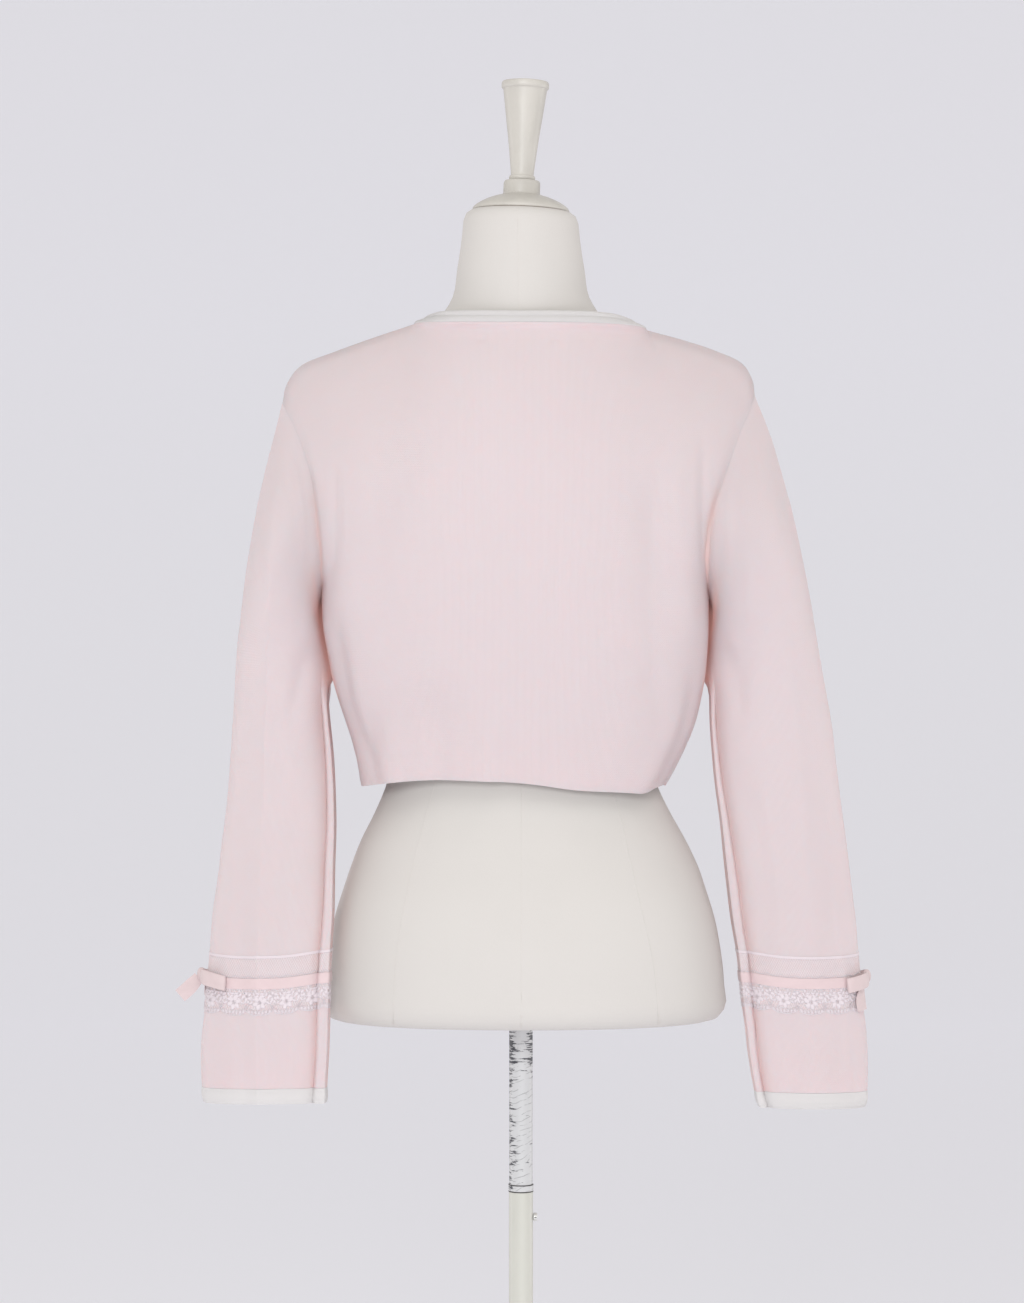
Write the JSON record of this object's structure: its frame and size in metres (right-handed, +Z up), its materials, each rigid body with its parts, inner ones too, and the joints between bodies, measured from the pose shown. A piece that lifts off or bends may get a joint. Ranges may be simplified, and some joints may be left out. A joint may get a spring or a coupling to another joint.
{
  "type": "lace cardigan on a dress form",
  "caption": "Cropped fine-knit cardigan with lace and ribbon round the sleeves, worn on a limbless dress form on a pole stand.",
  "frame": {"origin": "on the floor, under the centre of the round base", "axes": "+Z up along the pole; the garment's back faces -Y and its buttoned front +Y; +X is the wearer's right"},
  "size_m": [0.5981, 0.3, 1.5405],
  "materials": {
    "pink_knit": "fine matt pale pink knit",
    "off_white_rib": "off-white fine knit trim",
    "white_lace": "soft white net and floral lace",
    "pink_ribbon": "narrow satin ribbon, soft sheen",
    "shell_button": "small pearly buttons",
    "form_cloth": "smooth cream jersey over the form",
    "cream_paint": "cream satin paint",
    "white_tube": "worn white coated tube",
    "screw_steel": "plain steel"
  },
  "bodies": {
    "root": {"back": "pink_knit", "front_left": "pink_knit", "front_right": "pink_knit", "band_left": "pink_knit", "band_right": "pink_knit", "sleeve_left": "pink_knit", "sleeve_right": "pink_knit", "neck_trim": "off_white_rib", "cuff_left": "off_white_rib", "cuff_right": "off_white_rib", "lace_left": "white_lace", "lace_right": "white_lace", "ribbon_left": "pink_ribbon", "ribbon_right": "pink_ribbon", "bow_left_knot": "pink_ribbon", "bow_left_loop_back": "pink_ribbon", "bow_left_loop_front": "pink_ribbon", "bow_left_tail_back": "pink_ribbon", "bow_left_tail_front": "pink_ribbon", "bow_right_knot": "pink_ribbon", "bow_right_loop_back": "pink_ribbon", "bow_right_loop_front": "pink_ribbon", "bow_right_tail_back": "pink_ribbon", "bow_right_tail_front": "pink_ribbon", "button_1": "shell_button", "button_2": "shell_button", "button_3": "shell_button", "button_4": "shell_button", "button_5": "shell_button", "button_6": "shell_button", "torso": "form_cloth", "neck_cap": "cream_paint", "finial": "cream_paint", "outer_pole": "cream_paint", "base": "cream_paint", "inner_pole": "white_tube", "pole_collar": "white_tube", "clamp_screw": "screw_steel"}
  },
  "joints": []
}
